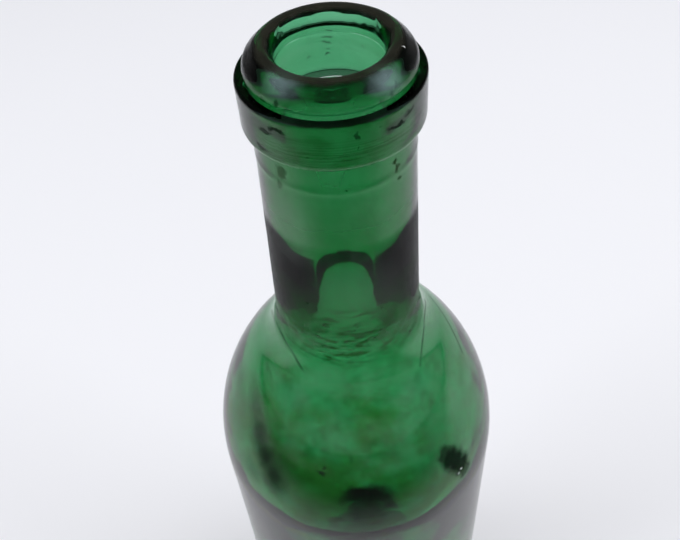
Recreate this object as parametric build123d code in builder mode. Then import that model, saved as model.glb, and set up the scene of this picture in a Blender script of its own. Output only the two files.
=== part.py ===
"""Green glass soda bottle with a laid-on collar, as two masses of glass.

bottle_body     mould-blown: resting ring and kick-up, straight body, round shoulder,
                tapering neck, and a fire-polished lip, all one gather of glass
laid_on_collar  a second band of hot glass wound round the neck just under the lip

Millimetres. The origin is the centre of the resting ring; +Z runs up through the mouth.
"""

import math
import os

from build123d import *

# Heights above the table
total_height = 265.0
crown_rise = 2.0
lip_z = total_height - crown_rise
belly_z = lip_z - 2.2
slope_foot_z = lip_z - 0.6
seat_top_z = lip_z - 2.6
collar_top_z = lip_z - 3.2
collar_skirt_z = lip_z - 12.2
collar_bottom_z = lip_z - 13.6
neck_foot_z = lip_z - 70.0
body_top_z = lip_z - 113.6
waist_z = lip_z - 59.8
inner_top_z = lip_z - 107.2

# Lip and mouth
lip_r = 15.0
crown_outer_r = 12.4
crown_inner_r = 11.2
slope_round = 2.6
belly_round = 0.3
mouth_r = 9.4
mouth_round_h = 2.6
mouth_length = 32.0

# Collar
seat_r = 14.4
collar_r = 16.6
collar_round = 0.6
crevice_r = 14.9
crevice_depth = 0.9

# Neck, shoulder and body, outside
neck_top_r = 14.8
neck_foot_r = 16.25
neck_fillet = 22.3
shoulder_round = 58.9
body_r = 35.5
heel_round = 7.0

# Neck, shoulder and body, inside: the glass is thickest round the waist at the neck's foot
waist_r = 8.0
inner_fillet = 22.5
inner_shoulder_round = 41.0
body_wall = 5.6
floor_thickness = 7.0
inner_heel_round = 5.0

# Kick-up under the base
ring_inner_r = 24.0
kick_up = 20.0
kick_up_round = 3.0


def shoulder_points(top, foot, fillet_r, round_r, body_radius, body_z):
    """Join a straight neck to a straight body with a hollow arc and a full arc.

    The hollow arc is tangent to the neck line, the full arc is tangent to the body,
    and the two are tangent to each other. Returns the points from body to neck.
    """
    run = math.hypot(foot[0] - top[0], foot[1] - top[1])
    along = ((foot[0] - top[0]) / run, (foot[1] - top[1]) / run)
    outward = (-along[1], along[0])
    full_centre = (body_radius - round_r, body_z)
    # The hollow arc's centre lies on a line parallel to the neck
    offset_x = top[0] + fillet_r * outward[0] - full_centre[0]
    offset_z = top[1] + fillet_r * outward[1] - full_centre[1]
    half_b = offset_x * along[0] + offset_z * along[1]
    rest = offset_x**2 + offset_z**2 - (fillet_r + round_r) ** 2
    slide = -half_b - math.sqrt(half_b**2 - rest)
    tangent = (top[0] + slide * along[0], top[1] + slide * along[1])
    hollow_centre = (tangent[0] + fillet_r * outward[0], tangent[1] + fillet_r * outward[1])
    lean = math.atan2(hollow_centre[1] - full_centre[1], hollow_centre[0] - full_centre[0])
    swap = (full_centre[0] + round_r * math.cos(lean), full_centre[1] + round_r * math.sin(lean))
    full_mid = (
        full_centre[0] + round_r * math.cos(lean / 2),
        full_centre[1] + round_r * math.sin(lean / 2),
    )
    start = math.atan2(swap[1] - hollow_centre[1], swap[0] - hollow_centre[0])
    end = math.atan2(tangent[1] - hollow_centre[1], tangent[0] - hollow_centre[0])
    turn = (end - start + math.pi) % (2 * math.pi) - math.pi
    hollow_mid = (
        hollow_centre[0] + fillet_r * math.cos(start + turn / 2),
        hollow_centre[1] + fillet_r * math.sin(start + turn / 2),
    )
    return full_mid, swap, hollow_mid, tangent


def dome_mid(rise, base_r, base_z):
    """A point half-way round the arc that tops the kick-up."""
    ball = (base_r**2 + rise**2) / (2 * rise)
    half = math.asin(base_r / ball) / 2
    return ball * math.sin(half), base_z + rise - ball * (1 - math.cos(half))


os.makedirs("parts", exist_ok=True)

mouth_round_z = total_height - mouth_round_h
mouth_foot_z = mouth_round_z - mouth_length
inner_r = body_r - body_wall

outer = shoulder_points(
    (neck_top_r, collar_bottom_z),
    (neck_foot_r, neck_foot_z),
    neck_fillet,
    shoulder_round,
    body_r,
    body_top_z,
)
inner = shoulder_points(
    (mouth_r, mouth_foot_z),
    (waist_r, waist_z),
    inner_fillet,
    inner_shoulder_round,
    inner_r,
    inner_top_z,
)

# The body: everything inside the outer skin, less the hollow
with BuildPart() as bottle_body:
    with BuildSketch(Plane.XZ) as skin:
        with BuildLine():
            # Underside: kick-up, resting ring and heel
            ThreePointArc((0, kick_up), dome_mid(kick_up, ring_inner_r, 0), (ring_inner_r, 0))
            Line((ring_inner_r, 0), (body_r - heel_round, 0))
            CenterArc((body_r - heel_round, heel_round), heel_round, -90, 90)
            # Body and shoulder
            Line((body_r, heel_round), (body_r, body_top_z))
            ThreePointArc((body_r, body_top_z), outer[0], outer[1])
            ThreePointArc(outer[1], outer[2], outer[3])
            # Neck, then the seat the collar is wound on
            Line(outer[3], (neck_top_r, collar_bottom_z))
            Line((neck_top_r, collar_bottom_z), (seat_r, collar_bottom_z))
            Line((seat_r, collar_bottom_z), (seat_r, seat_top_z))
            # Lip: upright side, then a rounded slope up to the narrow crown
            Line((seat_r, seat_top_z), (lip_r, belly_z))
            Line((lip_r, belly_z), (lip_r, slope_foot_z))
            Line((lip_r, slope_foot_z), (crown_outer_r, total_height))
            Line((crown_outer_r, total_height), (0, total_height))
            Line((0, total_height), (0, kick_up))
        make_face()
        fillet(skin.vertices().sort_by_distance((ring_inner_r, 0))[0], kick_up_round)
        fillet(skin.vertices().sort_by_distance((lip_r, belly_z))[0], belly_round)
        fillet(skin.vertices().sort_by_distance((lip_r, slope_foot_z))[0], slope_round)
        fillet(
            skin.vertices().sort_by_distance((crown_outer_r, total_height))[0],
            slope_round,
        )
    revolve(axis=Axis.Z)

    with BuildSketch(Plane.XZ) as hollow:
        with BuildLine():
            # Mouth: rolled edge, then the straight bore a cork grips
            EllipticalCenterArc(
                (crown_inner_r, mouth_round_z),
                crown_inner_r - mouth_r,
                mouth_round_h,
                90,
                arc_size=90,
            )
            Line((mouth_r, mouth_round_z), (mouth_r, mouth_foot_z))
            # Inside of the neck, shoulder and body
            Line((mouth_r, mouth_foot_z), inner[3])
            ThreePointArc(inner[3], inner[2], inner[1])
            ThreePointArc(inner[1], inner[0], (inner_r, inner_top_z))
            Line((inner_r, inner_top_z), (inner_r, floor_thickness))
            # Inside of the base, over the kick-up
            Line((inner_r, floor_thickness), (ring_inner_r, floor_thickness))
            ThreePointArc(
                (ring_inner_r, floor_thickness),
                dome_mid(kick_up, ring_inner_r, floor_thickness),
                (0, floor_thickness + kick_up),
            )
            Line((0, floor_thickness + kick_up), (0, total_height))
            Line((0, total_height), (crown_inner_r, total_height))
        make_face()
        fillet(
            hollow.vertices().sort_by_distance((inner_r, floor_thickness))[0],
            inner_heel_round,
        )
    revolve(axis=Axis.Z, mode=Mode.SUBTRACT)

# The collar: a band seated on the neck, with a dark crevice left under the lip
with BuildPart() as laid_on_collar:
    with BuildSketch(Plane.XZ) as band:
        with BuildLine():
            Line((seat_r, collar_bottom_z), (neck_top_r, collar_bottom_z))
            Line((neck_top_r, collar_bottom_z), (collar_r, collar_skirt_z))
            Line((collar_r, collar_skirt_z), (collar_r, collar_top_z))
            Line((collar_r, collar_top_z), (crevice_r, collar_top_z))
            Line((crevice_r, collar_top_z), (seat_r, collar_top_z - crevice_depth))
            Line((seat_r, collar_top_z - crevice_depth), (seat_r, collar_bottom_z))
        make_face()
        fillet(band.vertices().sort_by_distance((collar_r, collar_top_z))[0], collar_round)
        fillet(band.vertices().sort_by_distance((collar_r, collar_skirt_z))[0], collar_round)
    revolve(axis=Axis.Z)

bottle_body.part.label = "bottle_body"
laid_on_collar.part.label = "laid_on_collar"
export_step(bottle_body.part, "parts/bottle_body.step")
export_step(laid_on_collar.part, "parts/laid_on_collar.step")
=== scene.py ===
"""Looks for the green glass soda bottle: two masses of old hand-finished glass on a pale floor."""

import math

import bpy
import numpy as np
from mathutils import Matrix, Vector, noise


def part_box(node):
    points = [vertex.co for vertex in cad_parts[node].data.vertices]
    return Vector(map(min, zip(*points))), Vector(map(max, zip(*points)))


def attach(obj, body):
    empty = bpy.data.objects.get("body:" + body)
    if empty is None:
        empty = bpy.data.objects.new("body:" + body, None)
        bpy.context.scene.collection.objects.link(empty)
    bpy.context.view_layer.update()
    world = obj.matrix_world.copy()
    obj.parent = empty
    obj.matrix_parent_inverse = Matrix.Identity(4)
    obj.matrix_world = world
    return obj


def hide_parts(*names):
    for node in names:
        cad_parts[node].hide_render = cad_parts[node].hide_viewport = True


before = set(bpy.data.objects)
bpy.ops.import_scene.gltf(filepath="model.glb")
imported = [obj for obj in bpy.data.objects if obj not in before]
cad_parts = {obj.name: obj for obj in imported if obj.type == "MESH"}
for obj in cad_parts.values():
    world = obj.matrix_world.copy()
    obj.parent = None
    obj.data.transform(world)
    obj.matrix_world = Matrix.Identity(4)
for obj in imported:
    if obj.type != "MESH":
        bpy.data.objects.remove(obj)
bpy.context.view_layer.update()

MM = 0.001

# Heights, in millimetres, measured down from the lip's widest circle or up from the table
band_low, band_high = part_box("laid_on_collar")
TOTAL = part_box("bottle_body")[1].z / MM
CROWN_RISE = 2.0
LIP_Z = TOTAL - CROWN_RISE
BAND_TOP = band_high.z / MM
BAND_FOOT = band_low.z / MM
BAND_SKIRT = BAND_FOOT + 1.4
SEAT_TOP = LIP_Z - 2.6
CREVICE = 0.9
FUSED_TOP = BAND_TOP - 0.95
NECK_FOOT = LIP_Z - 70.0
BODY_TOP = LIP_Z - 113.6
STRAIGHT = 60.0

# Radii
BODY_R = 35.5
BAND_R = 16.6
SEAT_R = 14.4
LIP_R = 15.0
CROWN_OUTER = 12.4
CROWN_INNER = 11.2
SLOPE_FOOT = LIP_Z - 0.6
SLOPE_ROUND = 2.6
MOUTH_R = 9.4
MOUTH_ROUND = 2.6
NECK_TOP_R = 14.8
NECK_FOOT_R = 16.25
NECK_FILLET = 22.3
SHOULDER_ROUND = 58.9
HEEL = 7.0
RING_R = 24.0
KICK_UP = 20.0
KICK_IN = 0.6
KICK_OUT = 1.4
KICK_LIFT = 0.9
INNER_KICK_OUT = 1.5
FLOOR_GLASS = 7.0
MOUTH_LENGTH = 32.0

# Glass thickness at depths below the lip: thick at the neck's foot, thin in the shoulder
WALL = (
    (34.0, 5.8),
    (46.0, 6.8),
    (54.0, 7.6),
    (58.0, 7.75),
    (62.0, 7.5),
    (66.0, 6.4),
    (70.0, 5.15),
    (74.0, 4.55),
    (82.0, 4.4),
    (90.0, 4.6),
    (105.0, 4.8),
    (118.0, 5.0),
    (132.0, 5.5),
    (165.0, 5.6),
)

# Meshes: points round each ring, and the angle above which an edge stays sharp
SEGMENTS = 192
SHARP_DEGREES = 32

# Uneven glass: depths below the lip and spreads, heights of the bumps, all in millimetres
NECK_RIDGE = (18.6, 0.6, 0.11)
WHITTLE = (60.5, 4.5, 0.04)
SEAM = (0.7, 0.05)
SEAM_ANGLES = (-math.pi / 2 - 0.04, math.pi / 2 + 0.03)
INNER_SWELL = 0.12
INNER_RIPPLE = 0.05
MOUTH_RIPPLE = 0.05
MOUTH_EDGE = (-0.6, 2.0)
OUTER_SWELL = 0.06
LIP_SWELL = 0.05
TOOL_LINES = 0.012

# Glass: absorption per millimetre in red, green and blue, its streaks and how they vary that,
# its roughness, how much rougher the lip is and from which depths, and the tint of its shadow
IOR = 1.52
ABSORB = (0.34, 0.125, 0.235)
BODY_STREAKS = (60, 60, 14)
BAND_STREAKS = (30, 30, 500)
STREAK_RANGE = 0.5
STREAK_LOWEST = 0.75
POLISHED = 0.04
LIP_ROUGHER = 0.2
LIP_ROUGH_DEPTHS = (3.0, 1.5)
SHADOW_TINT = (0.1, 0.24, 0.14, 1)

# Dull surfaces: depths below the lip, the share of the shine each one takes away, and the
# radii where the bore's starts and is full
DULL = (34.0, 70.0)
DULL_SHARE = 0.75
DUSTY_SHARE = 0.2
BORE_DULL = 0.75
BORE_EDGE = (10.6, 10.2)

# Rubbed crown: radii where the wear starts, is full, starts to fade and ends, depths below the
# top where it ends and is full, its share and roughness, how far its edges waver, and its
# darkest and palest dirt
CROWN_WORN = (9.9, 10.6, 11.9, 12.9)
CROWN_DEPTHS = (1.6, 0.9)
CROWN_SHARE = 0.85
CROWN_ROUGHNESS = 0.42
CROWN_WOBBLE = 1.6
CROWN_DIRT = ((0.004, 0.006, 0.004, 1), (0.03, 0.028, 0.02, 1))

# Floor, in metres: where its pale cloth ends, its dim front, where it melts into the backdrop
FLOOR_SIZE = 8.0
FLOOR_DROP = 0.0003
CLOTH_EDGE = (1.5, 2.5)
FRONT_SHADE = (-0.05, -0.34)
FRONT_DIM = 0.93
FAR_FLOOR = (0.65, 2.2)
CLOTH = ((0.86, 0.852, 0.89, 1), (0.89, 0.882, 0.92, 1))
DIM_ROOM = (0.03, 0.03, 0.03, 1)

# Surroundings: the room's colours, and two soft windows with the way to the right-hand one
HORIZON = (0.25, 0.25, 0.255, 1)
OVERHEAD = (0.035, 0.035, 0.035, 1)
BACKDROP = (0.8, 0.8, 0.81, 1)
WINDOW = (0.34, 0.45, 0.52, 1)
WINDOW_WAY = (0.81, -0.3, 0.5)
WINDOW_EDGE = (0.86, 0.97)
HORIZON_EDGE = (0.0, 0.35)

# Softboxes: name, place, side and power; each of them faces the same point on the bottle
LAMPS = (
    ("window_left", (-1.3, -0.35, 0.95), 0.9, 8),
    ("window_right", (1.3, -0.35, 0.95), 0.9, 8),
    ("ceiling", (0.1, 0.3, 2.3), 2.0, 44),
)
LAMP_TARGET = (0, 0, 0.15)

# Camera: millimetres from the centre of the lip's widest circle, then degrees
CAMERA_PLACE = (-1.2, -116.5, 73.94)
CAMERA_PITCH = 47.79
CAMERA_ROLL = -4.69
SENSOR_WIDTH = 36.0
FOCAL_LENGTH = 42.35
CLIP_START = 0.005

# Light paths: enough for several passes through the glass
MAX_BOUNCES = 32
TRANSMISSION_BOUNCES = 28
GLOSSY_BOUNCES = 16

# Blemishes on the near side: across and below the lip, half width, half height, strength
GRIME = (
    (19.6, 93.2, 1.9, 2.6, 0.75),
    (21.0, 95.4, 2.6, 3.4, 0.93),
    (22.4, 97.6, 2.5, 3.6, 0.93),
    (23.9, 100.2, 2.4, 3.4, 0.9),
    (25.0, 102.8, 1.7, 2.6, 0.65),
    (-9.0, 89.7, 0.9, 0.6, 0.8),
    (-8.2, 88.2, 0.5, 0.5, 0.7),
    (-2.0, 86.0, 0.35, 1.0, 0.4),
    (12.9, 65.2, 0.35, 0.35, 0.9),
    (0.9, 18.3, 0.22, 0.22, 0.9),
    (2.4, 41.5, 0.2, 0.2, 0.8),
    (11.0, 26.0, 0.25, 0.25, 0.7),
)
SPECKS = (
    (23.8, 101.3, 0.4, 0.3, 0.9),
    (23.2, 102.2, 0.25, 0.3, 0.7),
)
SMEARS = (
    (-23.0, 84.0, 2.2, 6.0, 0.5),
    (-22.7, 88.0, 2.6, 6.0, 0.75),
    (-22.0, 92.0, 2.8, 6.0, 0.8),
    (-20.6, 96.0, 3.2, 6.0, 0.8),
    (-26.0, 99.0, 3.0, 4.0, 0.3),
)
RUST = (
    (9.7, 15.6, 0.7, 0.6, 0.8),
    (10.0, 17.2, 0.4, 0.9, 0.7),
    (10.5, 19.8, 0.35, 0.6, 0.6),
    (-9.9, 16.1, 1.2, 1.3, 0.6),
    (-10.4, 19.2, 0.5, 1.2, 0.4),
)
# Pale veils painted on the near side of the neck; the lower one is a painted reflection of the pale
# cloth
PALE_VEILS = (
    (-9.5, 27.0, 4.5, 9.0, 0.05),
    (1.0, 47.0, 8.0, 10.0, 0.085),
)

# Painted glints: bright white spots on the lip, across, along and above the lip's widest circle
PAINTED_GLINTS = (
    (12.2, -3.8, 2.0, 0.34, 1.0),
    (12.7, -4.3, 1.7, 0.2, 0.9),
    (-11.3, 0.8, 2.0, 0.16, 1.0),
    (9.3, 3.0, 2.0, 0.1, 0.9),
)

# Painted reflection of the windows: soft bluish patches on the lip's slope, given like the glints
WINDOW_REFLECTIONS = (
    (-7.9, -9.7, 1.6, 2.9, 0.2),
    (8.9, -10.9, 0.6, 2.9, 0.24),
)

# Grime on the collar, given like the blemishes
BAND_GRIME = (
    (-9.6, 5.4, 1.8, 0.45, 0.85),
    (-11.6, 6.3, 1.4, 0.5, 0.6),
    (10.0, 6.4, 1.9, 0.45, 0.85),
    (12.2, 5.2, 1.2, 0.5, 0.6),
    (3.2, 5.6, 0.3, 0.9, 0.75),
    (3.4, 8.0, 0.22, 0.3, 0.7),
    (7.0, 5.0, 0.25, 0.25, 0.7),
    (-5.0, 9.5, 0.25, 0.3, 0.5),
    (0.6, 9.0, 0.22, 0.22, 0.5),
    (-12.6, 10.6, 1.2, 0.7, 0.5),
)

# Painted shade along creases from the neck on to the shoulder, as fine dark lines: how far out each
# one starts and is full, then its points across, along and below the lip
CREASE_SHADE_EDGE = (0.56, 0.105)
CREASE_SHADE_LINES = (
    ((-17.9, 3.7, 70.6), (-16.0, -4.5, 66.1), (-14.6, -8.4, 66.8), (-13.0, -11.2, 67.9),
     (-11.7, -13.4, 69.6), (-8.0, -17.0, 74.0)),
    ((18.1, 3.1, 70.8), (17.4, -1.5, 68.8), (16.8, -4.5, 68.6), (15.7, -9.7, 71.0),
     (14.9, -13.3, 73.5)),
    ((20.0, 7.8, 75.5), (22.0, 4.5, 76.7), (24.4, 0.1, 79.1), (26.3, -4.2, 82.5)),
)

# Painted shade in the base, drawn as a dark blob inside: across, along and above the table, half
# sizes, strength
BASE_SHADE_BLOB = (
    (3.5, 29.5, 17.0, 16.0, 12.0, 12.0, 0.96),
    (3.5, 29.5, 25.0, 13.5, 10.0, 12.5, 0.97),
)

# Small dark flaws in the far wall of the bore, given like the painted shade in the base
FLAWS = (
    (0.3, 9.4, LIP_Z - 2.0, 0.8, 0.6, 0.2, 0.6),
    (-0.1, 9.4, LIP_Z - 3.1, 0.9, 0.6, 0.2, 0.5),
    (-0.4, 9.4, LIP_Z - 4.3, 0.8, 0.6, 0.2, 0.6),
    (-0.3, 9.4, LIP_Z - 5.5, 0.7, 0.6, 0.2, 0.6),
    (-0.2, 9.4, LIP_Z - 6.8, 0.6, 0.6, 0.2, 0.65),
    (-3.6, 8.7, LIP_Z - 7.0, 0.9, 0.6, 0.2, 0.6),
    (5.9, 7.3, LIP_Z - 4.4, 0.25, 0.25, 0.25, 0.7),
)

# Grime on the lip's near side, given like the blemishes
LIP_GRIME = (
    (-9.2, 1.6, 0.5, 0.9, 0.7),
    (-11.2, 2.0, 1.0, 0.6, 0.6),
    (9.2, 1.0, 0.5, 0.7, 0.6),
    (10.4, 0.2, 0.6, 0.6, 0.5),
    (-1.4, 2.2, 0.25, 0.2, 0.5),
    (2.0, 2.0, 0.2, 0.2, 0.4),
)

# Colours of the marks and films
BLACK = (0.003, 0.006, 0.004, 1)
# Colour of the painted shade in the base
BASE_SHADE_COLOUR = (0.008, 0.011, 0.006, 1)
BROWN = (0.03, 0.018, 0.008, 1)
PALE = (0.75, 0.8, 0.78, 1)
# Colour of the painted reflection of the windows
REFLECTION_BLUE = (0.5, 0.72, 0.74, 1)
WHITE = (1.0, 1.0, 1.0, 1)

# How far out a mark fades, in its own half sizes: from nothing to full. RAGGED is the span
# its edge strays over, in millimetres
SOFT_EDGE = (1.35, 0.55)
# The painted shade in the base fades over a wider span
BASE_SHADE_EDGE = (1.45, 0.6)
VEIL_EDGE = (1.6, 0.0)
RAGGED = 2.2

# Patchy films: colour, depths below the lip, widest radius, stretch, noise limits, strength
CLOUDS = (
    (PALE, (60.0, 92.0), 90.0, (150, 150, 200), (0.3, 0.75), 0.05),
    (PALE, (14.0, 40.0), 90.0, (120, 120, 60), (0.4, 0.75), 0.035),
    (PALE, (4.5, 34.0), 9.7, (60, 60, 60), (0.0, 0.1), 0.1),
)

# Patchy tints: colour, depths below the lip, stretch, noise limits, strength
BODY_STAINS = (
    ((0.6, 0.62, 0.2, 1), (78.0, 118.0), (42, 42, 55), (0.45, 0.58), 0.7),
    ((0.4, 0.5, 0.25, 1), (68.0, 118.0), (190, 190, 230), (0.46, 0.7), 0.4),
    ((0.2, 0.34, 0.12, 1), (56.0, 68.0), (330, 330, 1100), (0.49, 0.58), 0.85),
)
BAND_STAINS = (
    ((0.35, 0.5, 0.35, 1), (8.5, 16.0), (60, 60, 2600), (0.48, 0.62), 0.8),
    ((0.5, 0.7, 0.5, 1), (2.0, 16.0), (200, 200, 400), (0.4, 0.65), 0.7),
)

# Painted shade: a dark ring inside the waist. Its depths of top and foot, widest radius, strength,
# and how far its top wavers
WAIST_SHADE = (55.2, 62.6, 11.0, 0.94)
WAIST_SHADE_WOBBLE = 3.2


# ---------------------------------------------------------------- outlines


def line(a, b, count):
    """Points along a straight stretch, without its last end."""
    t = np.linspace(0, 1, count, endpoint=False)[:, None]
    return np.array(a) * (1 - t) + np.array(b) * t


def arc(centre, radii, start, end, count):
    """Points along an arc of a circle or an upright ellipse, without its last end."""
    a = np.radians(np.linspace(start, end, count, endpoint=False))
    return np.c_[centre[0] + radii[0] * np.cos(a), centre[1] + radii[1] * np.sin(a)]


def shoulder(count=46):
    """The outside of the shoulder, from the body up to the neck: a full arc, then a hollow one."""
    top = np.array((NECK_TOP_R, BAND_FOOT))
    foot = np.array((NECK_FOOT_R, NECK_FOOT))
    along = (foot - top) / np.linalg.norm(foot - top)
    outward = np.array((-along[1], along[0]))
    full = np.array((BODY_R - SHOULDER_ROUND, BODY_TOP))
    offset = top + NECK_FILLET * outward - full
    half_b = offset @ along
    slide = -half_b - math.sqrt(half_b**2 - offset @ offset + (NECK_FILLET + SHOULDER_ROUND) ** 2)
    tangent = top + slide * along
    hollow = tangent + NECK_FILLET * outward
    lean = math.degrees(math.atan2(*(hollow - full)[::-1]))
    rise = math.degrees(math.atan2(*(tangent - hollow)[::-1])) % 360
    return np.vstack(
        (
            arc(full, (SHOULDER_ROUND,) * 2, 0, lean, count),
            arc(hollow, (NECK_FILLET,) * 2, lean + 180, rise, count // 2),
            [tangent],
        )
    )


def smooth_curve(x, y, at):
    """A curve through a few points that never overshoots them (monotone cubic)."""
    x = np.array(x, float)
    y = np.array(y, float)
    step = np.diff(x)
    slope = np.diff(y) / step
    tangent = np.zeros(len(x))
    for i in range(1, len(x) - 1):
        if slope[i - 1] * slope[i] > 0:
            tangent[i] = 2 / (1 / slope[i - 1] + 1 / slope[i])
    at = np.clip(at, x[0], x[-1])
    k = np.clip(np.searchsorted(x, at) - 1, 0, len(x) - 2)
    t = (at - x[k]) / step[k]
    return (
        (2 * t**3 - 3 * t**2 + 1) * y[k]
        + (t**3 - 2 * t**2 + t) * step[k] * tangent[k]
        + (3 * t**2 - 2 * t**3) * y[k + 1]
        + (t**3 - t**2) * step[k] * tangent[k + 1]
    )


def outer_upper():
    """The outside from the straight body up to the collar's foot."""
    rise = shoulder()
    return np.vstack(
        (
            line((BODY_R, BODY_TOP - STRAIGHT), (BODY_R, BODY_TOP), 18),
            rise[:-1],
            line(rise[-1], (NECK_TOP_R, BAND_FOOT), 96),
        )
    )


def inner_upper():
    """The inside from the straight body up to the bore: the outside, less the glass."""
    outer = outer_upper()
    along = np.gradient(outer, axis=0)
    along /= np.linalg.norm(along, axis=1)[:, None]
    inward = np.c_[-along[:, 1], along[:, 0]]
    depth = LIP_Z - outer[:, 1]
    wall = smooth_curve([w[0] for w in WALL], [w[1] for w in WALL], depth)
    for _ in range(8):
        wall[1:-1] = (wall[:-2] + 2 * wall[1:-1] + wall[2:]) / 4
    inner = outer + inward * wall[:, None]
    return inner[depth > MOUTH_LENGTH + MOUTH_ROUND + 1.0]


def dome(rise, base_r, base_z, count):
    """The kick-up's round top, from its centre out to its foot."""
    ball = (base_r**2 + rise**2) / (2 * rise)
    edge = math.degrees(math.asin(base_r / ball))
    return arc((0, base_z + rise - ball), (ball, ball), 90, 90 - edge, count)


def body_section():
    """The bottle's section from the underside's centre, round the lip, to the inside's centre.

    Returns the points and, for each, the name of the stretch it lies on.
    """
    stretches = []

    def add(name, points):
        stretches.append((name, np.asarray(points, float)))

    upper = outer_upper()
    inner = inner_upper()[::-1]
    add("underside", dome(KICK_UP, RING_R, 0.0, 26)[:-1])
    add("underside", line((RING_R - KICK_IN, KICK_LIFT), (RING_R + KICK_OUT, 0.0), 4))
    add("ring", line((RING_R + KICK_OUT, 0.0), (BODY_R - HEEL, 0.0), 4))
    add("outside", arc((BODY_R - HEEL, HEEL), (HEEL, HEEL), -90, 0, 14))
    add("outside", line((BODY_R, HEEL), upper[0], 14))
    add("outside", upper)
    add("outside", [(NECK_TOP_R, BAND_FOOT)])
    add("seat", line((SEAT_R, BAND_FOOT), (SEAT_R, FUSED_TOP), 3))
    add("seat", [(SEAT_R, FUSED_TOP)])
    add("outside", line((SEAT_R, BAND_TOP - CREVICE), (SEAT_R, SEAT_TOP), 4))
    add("outside", line((SEAT_R, SEAT_TOP), (LIP_R - 0.16, SEAT_TOP + 0.2), 4))
    # The lip's side, its sloping shoulder and its narrow crown
    short = SLOPE_ROUND * math.tan(math.radians(22.5))
    low = (LIP_R - SLOPE_ROUND, SLOPE_FOOT - short)
    top = (CROWN_OUTER - short, TOTAL - SLOPE_ROUND)
    add("outside", line((LIP_R - 0.05, SEAT_TOP + 0.45), (LIP_R, low[1]), 3))
    add("outside", arc(low, (SLOPE_ROUND,) * 2, 0, 45, 8))
    slope_top = (top[0] + SLOPE_ROUND * math.sqrt(0.5), top[1] + SLOPE_ROUND * math.sqrt(0.5))
    slope_foot = (low[0] + SLOPE_ROUND * math.sqrt(0.5), low[1] + SLOPE_ROUND * math.sqrt(0.5))
    add("outside", line(slope_foot, slope_top, 6))
    add("outside", arc(top, (SLOPE_ROUND,) * 2, 45, 90, 8))
    mouth = (CROWN_INNER, TOTAL - MOUTH_ROUND)
    add("inside", arc(mouth, (CROWN_INNER - MOUTH_R, MOUTH_ROUND), 90, 180, 14))
    bore_foot = (MOUTH_R, TOTAL - MOUTH_ROUND - MOUTH_LENGTH)
    add("inside", line((MOUTH_R, TOTAL - MOUTH_ROUND), bore_foot, 20))
    add("inside", inner)
    inner_r = inner[-1, 0]
    kick_foot = RING_R + INNER_KICK_OUT
    fillet = inner_r - kick_foot
    low = FLOOR_GLASS + fillet
    add("inside", line(inner[-1] - (0, 1.5), (inner_r, low), 12))
    add("inside", arc((inner_r - fillet, low), (fillet, fillet), 0, -90, 10))
    kick_edge = (RING_R - KICK_IN, FLOOR_GLASS + KICK_LIFT)
    add("inside", line((kick_foot, FLOOR_GLASS), kick_edge, 4))
    add("inside", dome(KICK_UP, RING_R, FLOOR_GLASS, 26)[:-1][::-1])
    points = np.vstack([s[1] for s in stretches])
    names = [s[0] for s in stretches for _ in s[1]]
    return points, names


def collar_section():
    """The collar's closed section, counter-clockwise from its foot."""
    corner = 0.6
    top = line((BAND_R - corner, BAND_TOP), (SEAT_R + 0.5, BAND_TOP), 5)
    stretches = (
        ("outside", line((SEAT_R, BAND_TOP - CREVICE), (SEAT_R, FUSED_TOP), 1)),
        ("seat", line((SEAT_R, FUSED_TOP), (SEAT_R, BAND_FOOT + 0.02), 3)),
        ("seat", np.array([(SEAT_R, BAND_FOOT + 0.02)])),
        ("outside", line((SEAT_R, BAND_FOOT), (NECK_TOP_R + 0.02, BAND_FOOT), 2)),
        ("outside", line((NECK_TOP_R + 0.02, BAND_FOOT), (BAND_R - 0.35, BAND_SKIRT - 0.3), 8)),
        ("outside", line((BAND_R - 0.12, BAND_SKIRT), (BAND_R, BAND_SKIRT + 0.5), 3)),
        ("outside", line((BAND_R, BAND_SKIRT + 0.5), (BAND_R, BAND_TOP - corner), 34)),
        ("outside", arc((BAND_R - corner, BAND_TOP - corner), (corner,) * 2, 0, 90, 7)),
        ("outside", top),
        ("outside", line((SEAT_R + 0.5, BAND_TOP), (SEAT_R, BAND_TOP - CREVICE), 4)),
    )
    points = np.vstack([s[1] for s in stretches])
    names = [s[0] for s in stretches for _ in s[1]]
    return points, names


# ---------------------------------------------------------------- meshes


def fractal(x, y, z, size, octaves=3, seed=0.0):
    """Smooth noise between about -1 and 1, its largest features size millimetres across."""
    total = 0.0
    gain = 1.0
    for i in range(octaves):
        scale = 2.0**i / size
        total += gain * noise.noise(Vector((x * scale + seed, y * scale - seed, z * scale + 7 * i)))
        gain *= 0.5
    return total


def bump(offset, spread):
    """1 at no offset, falling smoothly to 0 a few spreads away."""
    return math.exp(-((offset / spread) ** 2))


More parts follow.
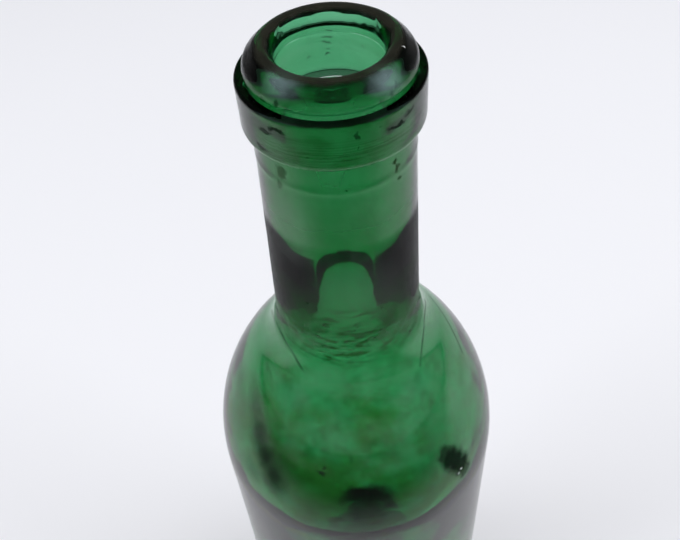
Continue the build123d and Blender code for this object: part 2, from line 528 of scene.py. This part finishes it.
def skin(r, z, angle, name):
    """How far a point of the glass stands out from the true section, in millimetres."""
    x = r * math.cos(angle)
    y = r * math.sin(angle)
    depth = LIP_Z - z
    if name in ("seat", "ring"):
        return 0.0
    if name == "underside":
        return 0.25 * fractal(x, y, z, 12, seed=3.1)
    if name == "inside":
        # Hand-blown inside: slow swells, growing below the straight bore
        swell = min(1.0, max(0.0, (depth - 30) / 30))
        slow = INNER_SWELL * fractal(x, y, z * 0.6, 26, seed=11.0)
        ripple = INNER_RIPPLE * fractal(x, y, z, 7, seed=5.5)
        if depth < MOUTH_EDGE[1]:
            # A finer ripple where the rolled mouth meets the bore
            slow = MOUTH_RIPPLE * fractal(x, y, z, 1.5, octaves=2, seed=31.0)
            swell = 1.0 if depth > MOUTH_EDGE[0] else 0.0
        return swell * (slow + ripple) + 0.004 * fractal(x, y, z * 3, 4, seed=2.2)
    # Outside: slow swells, and whittle marks at the neck's foot
    out = OUTER_SWELL * fractal(x, y, z, 22, seed=8.0)
    middle, spread, height = WHITTLE
    whittle = height * bump(depth - middle, spread)
    out += whittle * fractal(x + z, y, z * 2.2, 5.0, octaves=2, seed=21.0)
    # A faint ridge where the collar's tool stopped
    middle, spread, height = NECK_RIDGE
    out += height * bump(depth - middle, spread)
    # Two faint mould seams below the collar, and a slightly uneven lip above it
    if depth > 16:
        spread, height = SEAM
        for seam in SEAM_ANGLES:
            gap = (angle - seam + math.pi) % (2 * math.pi) - math.pi
            out += height * bump(gap * r, spread)
    if depth < 3:
        out += LIP_SWELL * fractal(x, y, z, 6, seed=14.0)
    return out


def band_skin(r, z, angle, name):
    """The collar's surface: tooling lines run round it, and its edges waver."""
    if name == "seat":
        return 0.0
    x = r * math.cos(angle)
    y = r * math.sin(angle)
    reach = 0.5 + 0.5 * fractal(x, y, z * 5, 14, octaves=2, seed=4.0)
    lines = fractal(x * 0.05, y * 0.05, z, 1.8, octaves=1, seed=9.0)
    return TOOL_LINES * reach * lines + OUTER_SWELL * fractal(x, y, z, 11, octaves=1, seed=17.0)


def revolve(name, points, names, surface, closed):
    """Turns a section into a mesh, roughened by surface(), with a seat slot for fused faces.

    A closed section joins its last point to its first.
    """
    along = np.gradient(points, axis=0)
    along /= np.maximum(np.linalg.norm(along, axis=1)[:, None], 1e-9)
    outward = np.c_[along[:, 1], -along[:, 0]]
    vertices = []
    rings = []
    for (r, z), (nr, nz), label in zip(points, outward, names):
        if r < 1e-6:
            rings.append([len(vertices)])
            vertices.append((0.0, 0.0, z * MM))
            continue
        ring = []
        for i in range(SEGMENTS):
            angle = 2 * math.pi * i / SEGMENTS
            lift = surface(r, z, angle, label)
            if label == "inside":
                lift = -lift
            out = (r + nr * lift) * MM
            ring.append(len(vertices))
            vertices.append((out * math.cos(angle), out * math.sin(angle), (z + nz * lift) * MM))
        rings.append(ring)
    faces = []
    slots = []
    pairs = list(zip(rings[:-1], rings[1:], names[1:]))
    if closed:
        pairs.append((rings[-1], rings[0], names[0]))
    previous = names[0]
    for low, high, label in pairs:
        fused = label == "seat" and previous == "seat"
        previous = label
        for i in range(SEGMENTS):
            j = (i + 1) % SEGMENTS
            if len(low) == 1:
                faces.append((low[0], high[j], high[i]))
            elif len(high) == 1:
                faces.append((low[i], low[j], high[0]))
            else:
                faces.append((low[i], low[j], high[j], high[i]))
            slots.append(1 if fused else 0)
    mesh = bpy.data.meshes.new(name)
    mesh.from_pydata(vertices, [], faces)
    mesh.polygons.foreach_set("use_smooth", [True] * len(faces))
    mesh.polygons.foreach_set("material_index", slots)
    mesh.update()
    mesh.set_sharp_from_angle(angle=math.radians(SHARP_DEGREES))
    piece = bpy.data.objects.new(name, mesh)
    bpy.context.scene.collection.objects.link(piece)
    return piece


# ---------------------------------------------------------------- materials


class Nodes:
    """Short calls for building a node tree."""

    def __init__(self, name="", world=None):
        self.material = world or bpy.data.materials.new(name)
        self.material.use_nodes = True
        self.tree = self.material.node_tree
        self.tree.nodes.clear()

    def add(self, kind, **settings):
        node = self.tree.nodes.new("ShaderNode" + kind)
        for key, value in settings.items():
            setattr(node, key, value)
        return node

    def put(self, value, socket):
        """Feeds a socket with another node's output or with a plain value."""
        if isinstance(value, bpy.types.NodeSocket):
            self.tree.links.new(value, socket)
        else:
            socket.default_value = value

    def math(self, operation, a, b=0.0, c=0.0, clamp=False):
        node = self.add("Math", operation=operation, use_clamp=clamp)
        for socket, value in zip(node.inputs, (a, b, c)):
            self.put(value, socket)
        return node.outputs[0]

    def vector(self, operation, a, b):
        node = self.add("VectorMath", operation=operation)
        self.put(a, node.inputs[0])
        self.put(b, node.inputs[1])
        return node.outputs[0]

    def dot(self, a, b):
        node = self.add("VectorMath", operation="DOT_PRODUCT")
        self.put(a, node.inputs[0])
        self.put(b, node.inputs[1])
        return node.outputs["Value"]

    def length(self, a):
        node = self.add("VectorMath", operation="LENGTH")
        self.put(a, node.inputs[0])
        return node.outputs["Value"]

    def parts(self, a):
        """A vector's three parts."""
        node = self.add("SeparateXYZ")
        self.put(a, node.inputs[0])
        return node.outputs

    def mix_colour(self, share, a, b, blend="MIX"):
        node = self.add("Mix", data_type="RGBA", blend_type=blend)
        self.put(share, node.inputs[0])
        self.put(a, node.inputs[6])
        self.put(b, node.inputs[7])
        return node.outputs[2]

    def mix_shader(self, share, a, b):
        node = self.add("MixShader")
        for socket, value in zip(node.inputs, (share, a, b)):
            self.put(value, socket)
        return node.outputs[0]

    def painted(self, share, under, colour):
        """Lays a dull paint over the shader below it, as solid as share says."""
        paint = self.add("BsdfDiffuse")
        paint.inputs["Color"].default_value = colour
        return self.mix_shader(share, under, paint.outputs[0])

    def noise(self, place, scale, detail=2.0, roughness=0.5):
        node = self.add("TexNoise")
        self.put(place, node.inputs["Vector"])
        node.inputs["Scale"].default_value = scale
        node.inputs["Detail"].default_value = detail
        node.inputs["Roughness"].default_value = roughness
        return node.outputs["Fac"]

    def scaled(self, place, by):
        node = self.add("Mapping")
        self.put(place, node.inputs["Vector"])
        node.inputs["Scale"].default_value = by
        return node.outputs[0]

    def band(self, value, low, high):
        """0 below low, 1 above high, smooth between."""
        node = self.add("MapRange", interpolation_type="SMOOTHSTEP")
        self.put(value, node.inputs[0])
        node.inputs[1].default_value = low
        node.inputs[2].default_value = high
        return node.outputs[0]

    def between(self, up, top, foot, fade=4):
        """1 between two depths below the lip, 0 outside them, smooth at both ends."""
        low = self.band(up, (LIP_Z - foot) * MM, (LIP_Z - foot + fade) * MM)
        high = self.band(up, (LIP_Z - top) * MM, (LIP_Z - top + fade) * MM)
        return self.math("SUBTRACT", low, high)

    def finish(self, shader):
        out = self.add("OutputMaterial")
        self.put(shader, out.inputs["Surface"])
        return self.material


def glass(name, absorb, stretch, stains, films):
    """Old coloured glass: it darkens with the length a ray runs inside it.

    stretch draws the streaks out along an axis, stains tint it in patches, and films
    lists the marks lying on the surface, with their colours.
    """
    n = Nodes(name)
    place = n.add("TexCoord").outputs["Object"]
    path = n.add("LightPath")
    inside = n.add("NewGeometry").outputs["Backfacing"]
    streaks = n.noise(n.scaled(place, stretch), 1.0, 3.0)
    density = n.math("MULTIPLY_ADD", streaks, STREAK_RANGE, STREAK_LOWEST)
    run = n.math("MULTIPLY", n.math("MULTIPLY", path.outputs["Ray Length"], density), inside)
    tint = n.add("CombineColor")
    for socket, strength in zip(tint.inputs, absorb):
        n.put(n.math("EXPONENT", n.math("MULTIPLY", run, -strength / MM)), socket)
    along, up = n.parts(place)[1:]
    span = n.length(n.vector("MULTIPLY", place, (1, 1, 0)))
    clear = tint.outputs[0]
    for details in stains:
        clear = stain(n, place, along, up, clear, *details)
    bend = n.add("BsdfRefraction")
    bend.inputs["IOR"].default_value = IOR
    bend.inputs["Roughness"].default_value = 0.0
    shine = n.add("BsdfGlossy")
    soft = n.band(up, *[(LIP_Z - depth) * MM for depth in LIP_ROUGH_DEPTHS])
    n.put(n.math("MULTIPLY_ADD", soft, LIP_ROUGHER, POLISHED), shine.inputs["Roughness"])
    fresnel = n.add("Fresnel")
    fresnel.inputs["IOR"].default_value = IOR
    n.put(clear, bend.inputs["Color"])
    n.put(tint.outputs[0], shine.inputs["Color"])
    # A dull film takes most of the shine from the neck's foot and a little from the rest
    dulled = n.math("MULTIPLY", n.between(up, *DULL), DULL_SHARE)
    dusty = n.math("MAXIMUM", dulled, DUSTY_SHARE)
    bore = n.band(span, *[r * MM for r in BORE_EDGE])
    lined = n.math("MULTIPLY", bore, BORE_DULL)
    mirror = n.math("SUBTRACT", 1.0, n.math("MAXIMUM", dusty, lined))
    kept = n.math("MAXIMUM", inside, mirror)
    share = n.math("MULTIPLY", fresnel.outputs[0], kept)
    worn_and_shaded = n.mix_shader(share, bend.outputs[0], shine.outputs[0])
    for details in films:
        worn_and_shaded = film(n, place, worn_and_shaded, *details)
    for details in CLOUDS:
        worn_and_shaded = cloud(n, place, up, span, worn_and_shaded, *details)
    # Painted shade: a dark ring inside the waist
    worn_and_shaded = waist_shade(n, place, along, up, span, worn_and_shaded)
    # Painted shade along the creases
    worn_and_shaded = crease_shade(n, place, worn_and_shaded)
    worn_and_shaded = crown_wear(n, place, span, up, worn_and_shaded)
    # Lamps shine through the glass, so its shadow is soft and green
    veil = n.add("BsdfTransparent")
    veil.inputs[0].default_value = SHADOW_TINT
    return n.finish(n.mix_shader(path.outputs["Is Shadow Ray"], worn_and_shaded, veil.outputs[0]))


def outer_radius(depth):
    """The outside's radius at a depth below the lip's widest circle."""
    if depth < 3.0:
        return LIP_R
    if depth < 12.0:
        return BAND_R
    upper = outer_upper()
    return float(np.interp(LIP_Z - depth, upper[:, 1], upper[:, 0]))


def near_side(marks):
    """Puts marks given as across and below the lip on the near side of the surface."""
    placed = []
    for x, depth, wide, tall, strength in marks:
        r = outer_radius(depth)
        centre = Vector((x, -math.sqrt(r * r - x * x), LIP_Z - depth))
        placed.append((centre, (wide, max(wide, tall), tall), strength))
    return placed


def on_lip(marks):
    """Puts round marks given by their place on the lip."""
    return [(Vector((x, y, LIP_Z + up)), (r, r, r), strength) for x, y, up, r, strength in marks]


def base_shade_and_flaws(marks):
    """Puts the painted shade in the base and the bore's flaws, given by their place and their three
    half sizes.
    """
    return [(Vector(mark[:3]), mark[3:6], mark[6]) for mark in marks]


def film(n, place, under, colour, edge, marks):
    """Ragged soft-edged marks of one colour, laid over the shader below them."""
    jitter = n.add("TexNoise")
    n.put(place, jitter.inputs["Vector"])
    jitter.inputs["Scale"].default_value = 700.0
    jitter.inputs["Detail"].default_value = 4.0
    ragged = n.add("VectorMath", operation="MULTIPLY_ADD")
    n.put(jitter.outputs["Color"], ragged.inputs[0])
    ragged.inputs[1].default_value = (RAGGED * MM,) * 3
    n.put(place, ragged.inputs[2])
    share = 0.0
    for centre, half, strength in marks:
        centre = centre * MM + Vector((RAGGED / 2 * MM,) * 3)
        gap = n.vector("SUBTRACT", ragged.outputs[0], centre)
        reach = n.length(n.vector("DIVIDE", gap, [h * MM for h in half]))
        spot = n.math("MULTIPLY", n.band(reach, *edge), strength)
        share = n.math("MAXIMUM", share, spot)
    return n.painted(share, under, colour)


def stain(n, place, along, up, clear, colour, reach, stretch, limits, strength):
    """Tints the light that passes through the near side, in patches between two depths."""
    patches = n.noise(n.scaled(place, stretch), 1.0, 5.0, 0.6)
    share = n.math("MULTIPLY", n.band(patches, *limits), n.between(up, *reach))
    share = n.math("MULTIPLY", share, n.band(along, 0.0, -0.008))
    tinted = n.mix_colour(n.math("MULTIPLY", share, strength), WHITE, colour)
    return n.mix_colour(1.0, clear, tinted, blend="MULTIPLY")


def cloud(n, place, up, span, under, colour, reach, widest, stretch, limits, strength):
    """A patchy film between two depths: noise above a limit shows as thin dirt or dust."""
    patches = n.noise(n.scaled(place, stretch), 1.0, 6.0, 0.62)
    share = n.math("MULTIPLY", n.band(patches, *limits), n.between(up, *reach))
    share = n.math("MULTIPLY", share, n.band(span, (widest + 0.4) * MM, widest * MM))
    return n.painted(n.math("MULTIPLY", share, strength), under, colour)


def waist_shade(n, place, along, up, span, under):
    """Painted shade: a dark ring on the far side of the narrowest place inside."""
    waves = n.noise(place, 300.0, 4.0, 0.6)
    wobble = n.math("MULTIPLY_ADD", waves, WAIST_SHADE_WOBBLE * MM, -WAIST_SHADE_WOBBLE / 2 * MM)
    top, foot, widest, strength = WAIST_SHADE
    low = n.band(up, (LIP_Z - foot - 0.4) * MM, (LIP_Z - foot + 0.4) * MM)
    high = n.band(n.math("ADD", up, wobble), (LIP_Z - top - 0.3) * MM, (LIP_Z - top + 0.3) * MM)
    share = n.math("MULTIPLY", n.math("SUBTRACT", low, high, clamp=True), strength)
    share = n.math("MULTIPLY", share, n.band(span, (widest + 0.5) * MM, widest * MM))
    share = n.math("MULTIPLY", share, n.band(along, -0.003, 0.001))
    return n.painted(share, under, BLACK)


def crease_shade(n, place, under):
    """Painted shade along the creases: fine dark lines drawn through points on the surface."""
    share = 0.0
    for path in CREASE_SHADE_LINES:
        points = [Vector((x, y, LIP_Z - depth)) * MM for x, y, depth in path]
        for start, end in zip(points[:-1], points[1:]):
            run = end - start
            gap = n.vector("SUBTRACT", place, start)
            along = n.math("DIVIDE", n.dot(gap, run), run.length_squared, clamp=True)
            foot = n.add("VectorMath", operation="SCALE")
            foot.inputs[0].default_value = run
            n.put(along, foot.inputs["Scale"])
            away = n.add("VectorMath", operation="DISTANCE")
            n.put(gap, away.inputs[0])
            n.put(foot.outputs[0], away.inputs[1])
            spot = n.band(away.outputs["Value"], *[reach * MM for reach in CREASE_SHADE_EDGE])
            share = n.math("MAXIMUM", share, spot)
    share = n.math("MULTIPLY", share, n.noise(place, 180.0, 2.0))
    return n.painted(share, under, BLACK)


def crown_wear(n, place, span, up, under):
    """The top of the lip is rubbed dull and grimy: dark, rough and nearly opaque."""
    blot = n.noise(place, 320.0, 4.0, 0.6)
    edge = n.math("MULTIPLY_ADD", blot, CROWN_WOBBLE * MM, -CROWN_WOBBLE / 2 * MM)
    radius = n.math("ADD", span, edge)
    outer = n.band(radius, CROWN_WORN[3] * MM, CROWN_WORN[2] * MM)
    inner = n.band(radius, CROWN_WORN[0] * MM, CROWN_WORN[1] * MM)
    top = n.band(up, *[(TOTAL - depth) * MM for depth in CROWN_DEPTHS])
    ring = n.math("MULTIPLY", inner, outer)
    share = n.math("MULTIPLY", n.math("MULTIPLY", ring, top), CROWN_SHARE)
    grime = n.add("BsdfPrincipled")
    n.put(n.mix_colour(blot, *CROWN_DIRT), grime.inputs["Base Color"])
    grime.inputs["Roughness"].default_value = CROWN_ROUGHNESS
    return n.mix_shader(share, under, grime.outputs[0])


def fused(name):
    """Where the two masses of glass are melted together, nothing is seen."""
    n = Nodes(name)
    return n.finish(n.add("BsdfTransparent").outputs[0])


# ---------------------------------------------------------------- pieces


def bottle():
    """The mould-blown bottle, lip and all, with the grime of its age, and painted shade, glints and
    reflections.
    """
    films = (
        (BLACK, SOFT_EDGE, near_side(GRIME + LIP_GRIME)),
        # Painted shade: a dark blob in the base
        (BASE_SHADE_COLOUR, BASE_SHADE_EDGE, base_shade_and_flaws(BASE_SHADE_BLOB)),
        (BLACK, SOFT_EDGE, base_shade_and_flaws(FLAWS)),
        (BLACK, VEIL_EDGE, near_side(SMEARS)),
        (BROWN, SOFT_EDGE, near_side(RUST)),
        # Pale veils; the lower one is a painted reflection of the pale cloth
        (PALE, VEIL_EDGE, near_side(PALE_VEILS)),
        # Painted reflection of the windows on the lip's slope
        (REFLECTION_BLUE, VEIL_EDGE, on_lip(WINDOW_REFLECTIONS)),
        # Painted glints on the lip; white specks on the shoulder
        (WHITE, SOFT_EDGE, on_lip(PAINTED_GLINTS) + near_side(SPECKS)),
    )
    points, names = body_section()
    piece = revolve("body_glass", points, names, skin, closed=False)
    skin_glass = glass("bottle_glass", ABSORB, BODY_STREAKS, BODY_STAINS, films)
    piece.data.materials.append(skin_glass)
    piece.data.materials.append(fused("fused_seat"))
    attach(piece, "root")
    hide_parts("bottle_body")


def collar():
    """The band of glass wound on the neck."""
    films = ((BLACK, SOFT_EDGE, near_side(BAND_GRIME)),)
    points, names = collar_section()
    piece = revolve("collar_glass", points, names, band_skin, closed=True)
    band_glass = glass("collar_band_glass", ABSORB, BAND_STREAKS, BAND_STAINS, films)
    piece.data.materials.append(band_glass)
    piece.data.materials.append(fused("fused_band"))
    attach(piece, "root")
    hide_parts("laid_on_collar")


# ---------------------------------------------------------------- studio


def floor():
    """A plain pale floor, just under the resting ring."""
    bpy.ops.mesh.primitive_plane_add(size=FLOOR_SIZE, location=(0, 0, -FLOOR_DROP))
    plane = bpy.context.object
    plane.name = "floor"
    n = Nodes("floor_paint")
    place = n.add("TexCoord").outputs["Object"]
    pale = n.mix_colour(n.noise(place, 3.0, 2.0), *CLOTH)
    # Seen through the glass, the pale cloth ends and the dim room begins
    away = n.length(place)
    edge = n.band(away, *CLOTH_EDGE)
    near = n.math("MULTIPLY", n.band(n.parts(place)[1], *FRONT_SHADE), FRONT_DIM)
    edge = n.math("MAXIMUM", edge, near)
    direct = n.add("LightPath").outputs["Is Camera Ray"]
    bent = n.math("SUBTRACT", 1.0, direct)
    dim = n.mix_colour(n.math("MULTIPLY", edge, bent), pale, DIM_ROOM)
    cloth = n.add("BsdfPrincipled")
    n.put(dim, cloth.inputs["Base Color"])
    cloth.inputs["Roughness"].default_value = 0.9
    # Far away the floor melts into the backdrop
    backdrop = n.add("Emission")
    backdrop.inputs["Color"].default_value = BACKDROP
    seen = n.math("MULTIPLY", n.band(away, *FAR_FLOOR), direct)
    whole = n.mix_shader(seen, cloth.outputs[0], backdrop.outputs[0])
    plane.data.materials.append(n.finish(whole))


def sky():
    """A dim room: pale where the lens sees it, with a soft bluish window on either side."""
    world = bpy.data.worlds.new("surround")
    bpy.context.scene.world = world
    n = Nodes(world=world)
    place = n.add("TexCoord").outputs["Generated"]
    room = n.mix_colour(n.band(n.parts(place)[2], *HORIZON_EDGE), HORIZON, OVERHEAD)
    for side in (-1, 1):
        way = Vector((WINDOW_WAY[0] * side, *WINDOW_WAY[1:])).normalized()
        glow = n.band(n.dot(place, way), *WINDOW_EDGE)
        room = n.mix_colour(glow, room, WINDOW)
    view = n.add("LightPath").outputs["Is Camera Ray"]
    back = n.add("Background")
    n.put(n.mix_colour(view, room, BACKDROP), back.inputs[0])
    out = n.add("OutputWorld")
    n.put(back.outputs[0], out.inputs[0])


def soft_light(name, place, size, watts):
    """A square softbox that faces the bottle and is not seen in the glass."""
    lamp = bpy.data.lights.new(name, "AREA")
    lamp.energy = watts
    lamp.size = size
    holder = bpy.data.objects.new(name, lamp)
    bpy.context.scene.collection.objects.link(holder)
    holder.location = place
    aim = Vector(LAMP_TARGET) - Vector(place)
    holder.rotation_euler = aim.to_track_quat("-Z", "Y").to_euler()
    holder.visible_glossy = False
    holder.visible_transmission = False


def camera():
    """The view down on to the mouth, from just in front of and above the bottle."""
    lens = bpy.data.cameras.new("view")
    lens.sensor_width = SENSOR_WIDTH
    lens.lens = FOCAL_LENGTH
    lens.clip_start = CLIP_START
    holder = bpy.data.objects.new("view", lens)
    bpy.context.scene.collection.objects.link(holder)
    across, along, above = CAMERA_PLACE
    place = Vector((across, along, LIP_Z + above)) * MM
    pitch = math.radians(CAMERA_PITCH)
    roll = math.radians(CAMERA_ROLL)
    forward = Vector((0, math.cos(pitch), -math.sin(pitch)))
    right = Vector((1, 0, 0))
    up = Vector((0, math.sin(pitch), math.cos(pitch)))
    side = math.cos(roll) * right + math.sin(roll) * up
    top = math.cos(roll) * up - math.sin(roll) * right
    holder.matrix_world = Matrix(
        (
            (side.x, top.x, -forward.x, place.x),
            (side.y, top.y, -forward.y, place.y),
            (side.z, top.z, -forward.z, place.z),
            (0, 0, 0, 1),
        )
    )
    bpy.context.scene.camera = holder


bottle()
collar()
floor()
sky()
for lamp_details in LAMPS:
    soft_light(*lamp_details)
camera()

bpy.context.scene.view_settings.view_transform = "Standard"
bpy.context.scene.view_settings.look = "None"

bounces = bpy.context.scene.cycles
bounces.max_bounces = MAX_BOUNCES
bounces.transmission_bounces = TRANSMISSION_BOUNCES
bounces.glossy_bounces = GLOSSY_BOUNCES
bounces.transparent_max_bounces = MAX_BOUNCES
